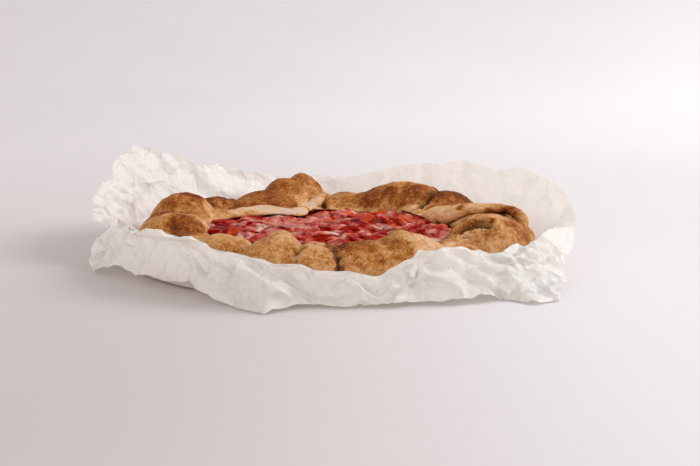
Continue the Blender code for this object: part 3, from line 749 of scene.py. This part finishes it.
# How far the dough baked, from 0 for pale through 0.45 for tan and 0.7 for brown to 1
# for scorched, with some spots as painted shade (in the recess beside the curl and under
# the sweep) and painted light and shade (the lighter top and darker front of the back
# roll): a point, how far round it, and the level there
BAKED_AND_SHADE = (
    (-104, 19, 30, 17, 0.5), (-104, 22, 33, 8, 0.86), (-110, -6, 30, 10, 0.8), (-108, -24, 27, 13, 0.5),
    (-90, -28, 28, 13, 0.86), (-90, -42, 23, 12, 0.82), (-82, -26, 26, 8, 0.66),
    (-84, 61, 28, 14, 0.78), (-84, 62, 30, 6, 0.95), (-50, 80, 28, 26, 0.74), (-70, 66, 27, 9, 0.85),
    (-22, 96, 33, 17, 0.57), (-30, 88, 28, 8, 0.6), (-22, 96, 34, 10, 0.5), (-4, 102, 37, 9, 0.9),
    (-14, 100, 39, 8, 0.6), (8, 92, 27, 14, 0.6), (34, 88, 28, 16, 0.78), (58, 78, 26, 14, 0.8),
    (46, 98, 37, 14, 0.34), (64, 90, 37, 12, 0.34), (56, 74, 26, 14, 0.68), (54, 84, 35, 9, 0.36),
    (42, 88, 33, 8, 0.48), (78, 60, 30, 13, 0.8), (92, 62, 31, 10, 0.95), (104, 48, 28, 12, 0.8),
    (-62, 40, 24, 6, 0.1), (-53, 43, 26, 6.5, -0.04), (-44, 45, 26.5, 7, -0.08),
    (-35, 43, 25, 7, -0.06), (-26, 41, 24, 7, -0.06), (-17, 44, 24.5, 7, 0.0), (-11, 55, 25, 6, 0.02),
    (-7, 66, 24, 6, 0.12), (-5, 76, 23, 5, 0.3), (-14, 74, 21, 7, 0.05), (-8, 81, 23, 6, 0.12),
    (-4, 88, 26, 5, 0.3), (-60, 57, 21, 8, 0.74), (-46, 61, 21, 8, 0.8), (-33, 60, 21, 8, 0.76),
    (-21, 64, 21, 8, 0.72), (-15, 77, 25, 4, 0.6), (-66, 64, 25, 8, 0.68), (-54, 74, 26, 10, 0.64),
    (-38, 74, 26, 9, 0.66), (-28, 74, 26, 8, 0.55), (-10, 86, 26, 8, 0.46), (-73, 30, 19, 9, 0.42),
    (-5, 72, 23, 7, 0.2), (58, 42, 23, 10, 0.3), (52, 50, 22, 7, 0.45), (72, 40, 28, 11, 0.66),
    (84, 44, 30, 12, 0.72), (70, 20, 22, 10, 0.1), (80, 12, 23, 10, 0.2), (84, 18, 30, 9, 0.3),
    (97, 9, 31, 10, 0.28), (112, 10, 32, 9, 0.42), (80, 12, 18, 6, 0.6), (106, 2, 27, 6, 0.9),
    (113, -1, 28, 5, 0.95), (121, 2, 31, 5, 0.8), (126, -10, 28, 6, 0.5), (127, -18, 23, 6, 0.42),
    (98, -36, 33, 12, 0.34), (112, -30, 31, 12, 0.56), (124, -34, 24, 14, 0.66),
    (104, -62, 24, 15, 0.46), (88, -62, 22, 12, 0.46), (84, -54, 26, 5, 0.25), (93, -54, 27, 5, 0.2),
    (90, -47, 29, 5, 0.7), (66, -94, 24, 17, 0.18), (54, -95, 29, 10, 0.2), (44, -88, 34, 5, 0.35),
    (39, -97, 29, 8, 0.64), (44, -104, 24, 7, 0.62), (26, -101, 29, 10, 0.6), (14, -102, 28, 7, 0.76),
    (20, -110, 22, 8, 0.56), (32, -107, 23, 8, 0.56), (-8, -108, 24, 12, 0.38), (-8, -100, 28, 6, 0.42),
    (-14, -82, 25, 7, 0.12), (-3, -86, 26, 7, 0.12), (-28, -89, 33, 13, 0.36),
    (-28, -100, 26, 14, 0.44), (-42, -92, 28, 9, 0.58), (-46, -84, 25, 6, 0.5),
    (-52, -96, 22, 10, 0.56), (-60, -68, 27, 9, 0.14), (-53, -72, 25, 7, 0.16),
    (-66, -76, 28, 14, 0.42), (-80, -64, 24, 12, 0.44),
)
JUICED = (
    (3, -99, 27, 4, 1.0), (3, -105, 26, 3.6, 1.0), (5, -111, 22, 3.6, 1.0), (6, -116, 17, 3.6, 1.0),
    (-8, -94, 28, 3, 0.9), (-15, -89, 27, 3, 0.8), (68, -62, 21, 5, 0.8), (-94, -46, 22, 5, 0.4),
    (-62, -70, 26, 3, 0.4),
)


def spot_share(points, spot, ragged):
    """How much each point belongs to a spot with a ragged edge."""
    away = np.linalg.norm(points - spot[:3], axis=1) / spot[3] + ragged
    share = np.clip(1.5 * (1.15 - away), 0, 1)
    return share * share * (3 - 2 * share)


corners = np.zeros(3 * len(crust.vertices))
crust.vertices.foreach_get("co", corners)
corners = corners.reshape(-1, 3) / MM
ragged = 0.45 * ripple(corners, 8, 3, 40.0)
crest = np.clip((corners[:, 2] - CREST_FROM) / CREST_OVER + ragged, 0, 1)
baked = PLAIN_LEVEL + CREST_LEVEL * crest ** 2 + 0.2 * ripple(corners, 20, 2, 9.0)
weights, levels = np.ones(len(corners)), baked
for spot in BAKED_AND_SHADE:
    share = SPOT_WEIGHT * spot_share(corners, spot, ragged)
    weights, levels = weights + share, levels + share * spot[4]
# Painted shade under the rolled edges is added to the baking levels
roll_shade_levels = np.concatenate([np.zeros(dough[..., 0].size), roll_shade_levels])
paint(crust, "baked", levels / weights + roll_shade_levels)
juiced = np.zeros(len(corners))
for spot in JUICED:
    juiced = np.maximum(juiced, spot[4] * spot_share(corners, spot, ragged))
paint(crust, "juiced", juiced)
# Painted shade in the creases: how far each point of the dough lies below its smoothed neighbours
hollow = ((smoothed(dough, 6) - dough) * grid_normals(dough)).sum(axis=-1)
hollow[:3], hollow[-4:] = 0, 0
paint(crust, "hollow", hollow)
paint(crust, "shaded", np.concatenate([shaded.ravel(), under]))

# Colours of the dough by how far it baked, then of painted shade in its creases and
# recesses, and under the juice
DOUGH_LEVELS = (
    (0.0, tone(206, 181, 163)), (0.2, tone(218, 174, 132)), (0.42, tone(196, 142, 88)),
    (0.62, tone(160, 96, 34)), (0.8, tone(122, 56, 6)), (1.0, tone(80, 30, 4)),
)
DOUGH_DARK = tone(92, 42, 6)
DOUGH_PAINTED_SHADE = tone(58, 22, 2)
DOUGH_BRAN = tone(110, 54, 10)
DOUGH_FLOUR = tone(240, 208, 164)
DOUGH_JUICE = tone(104, 52, 36)
DOUGH_SUGAR = tone(190, 156, 146)


def crust_material():
    """Dry, matt wholemeal dough with flecks of bran, coloured by how far it baked, with
    painted shade in its creases and recesses and under its rolled edges.
    """
    material, flow = new_material("baked_dough")
    place = flow.place()
    mottle, patch = place.grain(80, 3, 0.6), place.grain(170, 2, 0.5)
    coarse, fine = place.grain(300, 3, 0.6), place.grain(850, 2, 0.6)
    # The baking levels also carry painted shade and light, from spots of the table and under the rolled edges
    baked = flow.attribute("baked") + (mottle - 0.5) * 0.42 + (patch - 0.5) * 0.4
    baked = baked + (coarse - 0.5) * 0.55 + (fine - 0.5) * 0.55
    colour = flow.add("ShaderNodeValToRGB", {"stops": DOUGH_LEVELS}, {"Fac": baked})
    juiced = (flow.attribute("juiced") + (coarse - 0.5) * 1.2 + (fine - 0.5) * 0.8).ramp(0.3, 0.65)
    colour = (juiced * 0.85).mix(colour, DOUGH_JUICE)
    # Painted shade: the dough's creases and hollows are mixed towards dark brown
    deep = flow.attribute("hollow").ramp(0.15, 0.9)
    colour = (deep * 0.6).mix(colour, DOUGH_DARK)
    # Painted shade: inside the deepest creases and under the rolled edges the dough is painted nearly
    # black-brown
    shaded = (flow.attribute("shaded") + (coarse - 0.5) * 0.5 * flow.attribute("shaded")).ramp(0.15, 0.95)
    colour = (shaded * 0.92).mix(colour, DOUGH_PAINTED_SHADE)
    scorched = place.specks(260, 0.5, 0.42) * (coarse.ramp(0.35, 0.6) * baked.ramp(0.42, 0.7))
    colour = (scorched * 0.55).mix(colour, DOUGH_DARK)
    bran = place.specks(620, 0.25, 0.4)
    flour = place.specks(800, 0.2, 0.4)
    colour = (bran * 0.45).mix(colour, DOUGH_BRAN)
    colour = (flour * 0.25 * (1 - baked.ramp(0.5, 0.9))).mix(colour, DOUGH_FLOUR)
    sugar = place.specks(900, 0.35, 0.4) * juiced
    colour = (sugar * 0.5).mix(colour, DOUGH_SUGAR)
    relief = (fine * 0.7 + coarse * 0.9 + bran * 0.25 + sugar * 0.5).bump(0.5)
    inputs = {"Base Color": colour, "Roughness": 0.7 - juiced * 0.25, "Normal": relief}
    inputs["Specular IOR Level"] = 0.12
    return principled(material, flow, inputs)


piece_of("crust_dough", crust, crust_material(), "crust")


# The fruit: batons of rhubarb and slices of strawberry, tossed in sugar and heaped on
# the dough. They softened and sank into each other in the oven, and shine with syrup.

FRUIT_HEIGHT = 17.8
FRUIT_UNEVEN = 1.3
# The heap sank at the back: how far, over which depth, and left of which line less
FRUIT_SUNK, SUNK_FROM, SUNK_OVER = 3.2, (-12.0, 38.0), (20.0, 34.0)
SCATTER_REACH = 84
RIM_REACH_IN = 76.0
STANDING_PROUD = 4.2
HEAP_LOWEST = 8.0
STRIP_COUNT, SLICE_COUNT, PULP_COUNT = 80, 80, 60
heap_corners = []


def heap_height(x, y):
    """Height of the heap's top over millimetres: irregular, and lower at the back."""
    uneven = np.sin(x / 9.1 + 1.3 * np.sin(y / 13.7)) * np.sin(y / 7.3 + 1.7 * np.sin(x / 11.9))
    right, back = (
        np.clip((place - start) / over, 0, 1)
        for place, start, over in zip((x, y), SUNK_FROM, SUNK_OVER)
    )
    return FRUIT_HEIGHT + FRUIT_UNEVEN * uneven - FRUIT_SUNK * back * right


def strip_shape(draw):
    """A baton of rhubarb, cut on the slant: ribbed, collapsed and a little bent."""
    length, width, thick = draw.uniform(18, 36), draw.uniform(12, 20), draw.uniform(2.6, 4.6)
    bend, slant, twist = draw.uniform(-0.012, 0.012), draw.uniform(-0.7, 0.7), draw.uniform(-0.25, 0.25)
    angle = np.arange(22) * 2 * np.pi / 22
    ribs = 1 + 0.09 * np.cos(7 * angle + draw.uniform(0, 6)) + 0.05 * np.cos(3 * angle + draw.uniform(0, 6))
    rings = []
    for step in np.linspace(-1, 1, 15):
        sunk = 1 + 0.14 * noise.noise(Vector((3 * step, bend * 900, slant)))
        y = width / 2 * np.cos(angle) * ribs * sunk
        z = thick / 2 * np.sign(np.sin(angle)) * np.abs(np.sin(angle)) ** 0.8 * ribs / sunk
        shrink = 1 - 0.5 * abs(step) ** 12
        x = length / 2 * step + slant * y
        y, z = y * shrink, z * shrink
        lean = twist * step
        y, z = y * math.cos(lean) - z * math.sin(lean), y * math.sin(lean) + z * math.cos(lean)
        rings.append(np.column_stack([x, y + bend * x * x, z - 0.006 * x * x]))
    return np.array(rings), np.repeat(np.clip(np.sin(angle), 0, 1)[None], 15, axis=0)


def slice_shape(draw):
    """A slice of strawberry: a rounded heart with a thick middle and a limp rim."""
    length, width, thick = draw.uniform(18, 32), draw.uniform(16, 26), draw.uniform(2.4, 4.4)
    angle = np.arange(24) * 2 * np.pi / 24
    phase, fold = draw.uniform(0, 6), draw.uniform(-0.02, 0.015)
    outline = 1 - 0.22 * np.cos(angle) + 0.06 * np.cos(3 * angle) + 0.06 * np.cos(5 * angle + phase)
    limp = 0.5 * np.cos(3 * angle + phase) + 0.35 * np.cos(7 * angle)
    rings, skin = [], []
    for lift, reach in (
        (0.75, 0.12), (0.85, 0.3), (1, 0.5), (1, 0.7), (0.85, 0.86), (0.5, 0.95), (0, 1),
        (-0.6, 0.93), (-0.9, 0.75), (-1, 0.45), (-1, 0.15),
    ):
        x = length / 2 * np.cos(angle) * outline * reach
        y = width / 2 * np.sin(angle) * outline * reach
        z = thick / 2 * lift + fold * y * y - 0.008 * x * x + limp * reach**3
        rings.append(np.column_stack([x, y, z]))
        skin.append(np.full(24, max(0.0, (reach - 0.72) / 0.28)))
    return np.array(rings), np.array(skin)


def pulp_shape(draw):
    """A soft lump of fruit that fell apart."""
    size, seed = draw.uniform(12, 26), draw.uniform(0, 50)
    angle = np.arange(24) * 2 * np.pi / 24
    rings, skin = [], []
    for latitude in np.linspace(84, -84, 13):
        flat = np.cos(np.radians(latitude))
        ring = np.column_stack([
            size / 2 * flat * np.cos(angle), size / 3.2 * flat * np.sin(angle),
            np.full(24, size / 7 * np.sin(np.radians(latitude))),
        ])
        swell = np.array([noise.fractal(Vector(point) / 5 + Vector((seed, 0, 0)), 1, 2, 3) for point in ring])
        rings.append(ring * (1 + 0.6 * swell[:, None]))
        skin.append(0.5 + 0.5 * swell)
    return np.array(rings), np.array(skin)


def scatter_fruit(name, shape, count, seed, lift, lean, material):
    """Heap pieces of one kind over the fruit's area, as one mesh."""
    draw = np.random.default_rng(seed)
    corners, faces, skins, tints, alongs, backs, oranges = [], [], [], [], [], [], []
    placed = 0
    while placed < count:
        x, y = draw.uniform(-SCATTER_REACH, SCATTER_REACH, 2)
        reach = math.hypot(x, y)
        edge = float(read_round(LIP, math.degrees(math.atan2(y, x)), 1))
        if reach > min(edge, RIM_REACH_IN + 4) - 1:
            continue
        placed += 1
        rings, skin = shape(draw)
        turned = Matrix.Rotation(draw.uniform(0, 2 * math.pi), 3, "Z")
        tipped = Matrix.Rotation(math.radians(draw.normal(0, lean)), 3, "X")
        rolled = Matrix.Rotation(math.radians(draw.normal(0, lean)), 3, "Y")
        points = rings.reshape(-1, 3) @ np.array(turned @ tipped @ rolled).T
        top = heap_height(x, y) + draw.normal(lift, 0.55)
        points += (x, y, top - 1.5)
        inside = np.clip((min(edge, RIM_REACH_IN + 4) - reach) / 9, 0.4, 1)
        points[:, 2] -= max(0, points[:, 2].max() - heap_height(x, y) - STANDING_PROUD * inside)
        points[:, 2] = np.maximum(points[:, 2], HEAP_LOWEST)
        rows, ring_size = rings.shape[:2]
        first = len(corners)
        corners.extend(points.tolist())
        index = first + np.arange(rows * ring_size).reshape(rows, ring_size)
        after = np.roll(index, -1, axis=1)
        quads = np.stack([index[:-1], after[:-1], after[1:], index[1:]], axis=-1)
        faces += [tuple(quad) for quad in quads.reshape(-1, 4).tolist()]
        faces += [tuple(index[0][::-1].tolist()), tuple(index[-1].tolist())]
        skins.append(skin.ravel())
        tints.append(np.full(rows * ring_size, draw.uniform()))
        oranges.append(np.full(rows * ring_size, draw.uniform()))
        alongs.append(rings.reshape(-1, 3) + draw.uniform(-60, 60, 3))
        backs.append(np.full(rows * ring_size, np.clip((y + 0.5 * x) / 70, 0, 1)))
    mesh = bpy.data.meshes.new(name)
    mesh.from_pydata((np.array(corners) * MM).tolist(), [], faces)
    mesh.shade_smooth()
    heap_corners.append(np.array(corners))
    paint(mesh, "skin", np.concatenate(skins))
    paint(mesh, "tint", np.concatenate(tints))
    paint(mesh, "orange", np.concatenate(oranges))
    paint(mesh, "toasted", np.concatenate(backs))
    own = mesh.attributes.new("own", "FLOAT_VECTOR", "POINT")
    own.data.foreach_set("vector", np.concatenate(alongs).ravel())
    piece_of(name, mesh, material, None)


# Colours of the fruit, from pieces soaked in syrup to pale cut faces; the palest also
# stand for painted highlights on the wet fruit
FRUIT_LEVELS = (
    (0.0, tone(104, 0, 0)), (0.18, tone(144, 12, 4)), (0.34, tone(174, 54, 36)),
    (0.52, tone(192, 90, 70)), (0.74, tone(206, 132, 114)), (1.0, tone(218, 168, 154)),
)
FRUIT_SKIN = tone(150, 4, 6)
FRUIT_ORANGE = tone(204, 70, 18)
JUICE_DEPTH = (0.006, 0.0018, 0.0012)  # how far red, green and blue light goes in, in metres


def fruit_material(name, pale, fibres):
    """Soft fruit, streaked along its fibres in its own directions, wet with syrup, with
    painted highlights in its palest colours.
    """
    material, flow = new_material(name)
    place = flow.place()
    own = flow.add("ShaderNodeAttribute", {"attribute_name": "own"}, {}, 1)
    streak = own.stretched(fibres).grain(1.0, 4, 0.65)
    blotch, melt = place.grain(150, 3), place.grain(60, 2)
    tint, skin = flow.attribute("tint"), flow.attribute("skin")
    # Painted highlights: the pale end of the fruit's colours also stands for the shine of its wet surface
    level = tint * 0.4 + (streak - 0.5) * 1.9 + (blotch - 0.5) * 1.2 + (melt - 0.5) * 2.6 + pale + 0.14
    colour = flow.add("ShaderNodeValToRGB", {"stops": FRUIT_LEVELS}, {"Fac": level})
    toasted = flow.attribute("orange") * 0.75 + flow.attribute("toasted") * 0.45 + (blotch - 0.5)
    colour = (toasted.ramp(0.62, 0.85) * 0.75).mix(colour, FRUIT_ORANGE)
    colour = (skin.ramp(0.4, 1) * 0.6).mix(colour, FRUIT_SKIN)
    relief = (streak * 1.6 + place.grain(420, 3) * 0.2 + blotch * 1.2).bump(1.2)
    inputs = {"Base Color": colour, "Roughness": 0.4 - streak * 0.14, "Normal": relief}
    wet = place.grain(120, 3).ramp(0.4, 0.56) * level.ramp(0.3, 0.62)
    inputs.update({"Coat Weight": wet * 0.65, "Coat Roughness": 0.14, "Coat IOR": 1.38})
    inputs.update({"Specular IOR Level": 0.03, "Subsurface Weight": 0.5, "Subsurface Scale": 1.0})
    inputs["Subsurface Radius"] = JUICE_DEPTH
    return principled(material, flow, inputs)


scatter_fruit(
    "rhubarb_batons", strip_shape, STRIP_COUNT, 11, 0.3, 17,
    fruit_material("rhubarb", 0.24, (0.045, 0.26, 0.3)),
)
scatter_fruit(
    "strawberry_slices", slice_shape, SLICE_COUNT, 12, 0.2, 21,
    fruit_material("strawberry", 0.06, (0.09, 0.2, 0.24)),
)
scatter_fruit(
    "fruit_pulp", pulp_shape, PULP_COUNT, 13, 0.1, 10,
    fruit_material("fruit_pulp", 0.12, (0.1, 0.25, 0.2)),
)


# The syrup: the juice that ran out of the fruit. It fills the gaps between the pieces,
# follows their tops a little lower, set to a soft gloss, and runs down to the dough.

FRUIT_EDGE_RADIUS = 87.8
FRUIT_UNDERSIDE = 5.6
SYRUP_TURNS, SYRUP_ROWS = 260, 64
SYRUP_DEPTH = 0.9
SYRUP_CELL = 2.0
SYRUP_REACH = 90.0
# Beside the flap it ran on under the dough's edge: the turn there, how far to each side,
# how far out, and how much less on each degree past that
POOL_TURN, POOL_SPREAD, POOL_REACH, POOL_TAPER = 93, 4, 85, 3

tops = np.concatenate(heap_corners)
cells = int(2 * SYRUP_REACH / SYRUP_CELL)
level = np.full((cells, cells), FRUIT_HEIGHT - 1)
found = ((tops[:, :2] + SYRUP_REACH) / SYRUP_CELL).astype(int).clip(0, cells - 1)
np.maximum.at(level, (found[:, 0], found[:, 1]), tops[:, 2])
level = smoothed(level, 1)
turn = np.arange(SYRUP_TURNS) * 360 / SYRUP_TURNS
shoulder = np.minimum(read_round(LIP, turn, 1), RIM_REACH_IN + 4) - 2
away = np.clip(np.abs(turn - POOL_TURN) - POOL_SPREAD, 0, None)
shoulder = np.maximum(shoulder, POOL_REACH - POOL_TAPER * away)
share = (np.arange(SYRUP_ROWS) + 1) / SYRUP_ROWS
syrup = (share[:, None] * shoulder)[..., None] * around(turn)
place = ((syrup + SYRUP_REACH) / SYRUP_CELL - 0.5).clip(0, cells - 2)
low, part = place.astype(int), place % 1
corner = [level[low[..., 0] + right, low[..., 1] + back] for right in (0, 1) for back in (0, 1)]
across = [corner[back] * (1 - part[..., 0]) + corner[2 + back] * part[..., 0] for back in (0, 1)]
height = across[0] * (1 - part[..., 1]) + across[1] * part[..., 1] - SYRUP_DEPTH
syrup = np.concatenate([syrup, height[..., None]], axis=-1)
for height in (12.0, FRUIT_UNDERSIDE):
    ring = np.column_stack([FRUIT_EDGE_RADIUS * around(turn), np.full(SYRUP_TURNS, height)])
    syrup = np.concatenate([syrup, ring[None]])
syrup_mesh = grid_mesh(
    "fruit_syrup", [(syrup, (0, 0, FRUIT_HEIGHT - SYRUP_DEPTH), (0, 0, FRUIT_UNDERSIDE))]
)

SYRUP_LEVELS = (
    (0.0, tone(104, 0, 0)), (0.5, tone(146, 12, 4)), (0.75, tone(176, 60, 42)),
    (1.0, tone(210, 118, 98)),
)


def syrup_material():
    """Glossy juice, deep red where it pooled and paler over the softened fruit."""
    material, flow = new_material("fruit_syrup")
    place = flow.place()
    level = place.stretched((0.6, 1.2, 1)).grain(110, 4, 0.6) * 1.2 + place.grain(300, 2) * 0.3 - 0.32
    colour = flow.add("ShaderNodeValToRGB", {"stops": SYRUP_LEVELS}, {"Fac": level})
    relief = (place.grain(160, 3) + place.grain(420, 2) * 0.4).bump(1.0)
    inputs = {"Base Color": colour, "Roughness": 0.24, "Normal": relief, "Specular IOR Level": 0.05}
    inputs.update({"Subsurface Weight": 0.3, "Subsurface Scale": 1.0})
    inputs["Subsurface Radius"] = JUICE_DEPTH
    return principled(material, flow, inputs)


piece_of("fruit_syrup", syrup_mesh, syrup_material(), "filling")


# The table and the wall behind it: one pale paper sweep, round on every side.

# Metres to where it starts to bend, radius of the bend, degrees that it rises
SWEEP_RADIUS, SWEEP_BEND, SWEEP_RISE = 1.1, 2.5, 42
SWEEP_TURNS = 96
BELOW_THE_PART = -0.0002


def stage_material():
    material, flow = new_material("pale_sweep")
    place = flow.place()
    colour = place.grain(2, 2).ramp(0.3, 0.7).mix(tone(210, 203, 203), tone(213, 206, 206))
    across = flow.add("ShaderNodeSeparateXYZ", {}, {"Vector": place}, 0)
    # Painted shadow and light: the floor near the pie is darker to the left, where its shadow falls, and
    # lighter to the right, towards the window
    floor_shadow_and_light = across.ramp(-0.14, 0.22).mix(tone(199, 189, 187), tone(232, 228, 230))
    colour = place.near((0, -300, 0), 800).mix(colour, floor_shadow_and_light)
    return principled(material, flow, {"Base Color": colour, "Roughness": 0.9})


profile = [(SWEEP_RADIUS * step / 8, 0) for step in range(1, 9)]
profile += [
    (SWEEP_RADIUS + SWEEP_BEND * math.sin(angle), SWEEP_BEND * (1 - math.cos(angle)))
    for angle in np.radians(np.linspace(2, SWEEP_RISE, 24))
]
ring = around(np.arange(SWEEP_TURNS) * 360 / SWEEP_TURNS)
sweep = np.array([
    np.column_stack([radius * ring, np.full(SWEEP_TURNS, height)]) for radius, height in profile
]) / MM
sweep_mesh = grid_mesh("sweep", [(sweep, (0, 0, 0), None)])
sweep_mesh.materials.append(stage_material())
floor = bpy.data.objects.new("sweep", sweep_mesh)
bpy.context.scene.collection.objects.link(floor)
floor.location.z = BELOW_THE_PART


# Soft daylight: a large window to the right and behind, and a bright room all round.

world = bpy.data.worlds.new("room")
bpy.context.scene.world = world
world.use_nodes = True
world.node_tree.nodes["Background"].inputs["Color"].default_value = (1.0, 0.965, 0.96, 1)
world.node_tree.nodes["Background"].inputs["Strength"].default_value = 0.7


def window(name, place, size, target, power, colour):
    """A soft rectangular light that faces a place in metres."""
    light = bpy.data.lights.new(name, "AREA")
    light.shape = "RECTANGLE"
    light.size, light.size_y = size
    light.energy, light.color = power, colour
    made = bpy.data.objects.new(name, light)
    made.location = place
    made.rotation_euler = (Vector(target) - Vector(place)).to_track_quat("-Z", "Y").to_euler()
    bpy.context.scene.collection.objects.link(made)


window("window_right", (1.3, 0.3, 0.95), (1.2, 0.9), (0, 0, 0), 17, (0.97, 1.0, 1.0))
window("wall_in_front", (-0.8, -1.8, 0.65), (1.7, 1.2), (0, 0, 0), 11.5, (1.0, 0.98, 0.96))
window("window_on_the_wall", (1.0, 0.9, 1.4), (1.6, 0.8), (0.4, 2.6, 0.4), 19, (0.93, 1.0, 1.04))

LENS_HEIGHT, LENS_DISTANCE = 0.18136, 0.8318
LENS_YAW, LENS_PITCH = math.radians(0.992), math.radians(-11.288)
camera = bpy.data.cameras.new("camera")
camera.sensor_width, camera.lens = 36, 66.857
view = bpy.data.objects.new("camera", camera)
view.location = (0, -LENS_DISTANCE, LENS_HEIGHT)
aim = Vector((
    math.sin(LENS_YAW) * math.cos(LENS_PITCH), math.cos(LENS_YAW) * math.cos(LENS_PITCH),
    math.sin(LENS_PITCH),
))
view.rotation_euler = aim.to_track_quat("-Z", "Y").to_euler()
bpy.context.scene.collection.objects.link(view)
bpy.context.scene.camera = view
bpy.context.scene.view_settings.view_transform = "Standard"
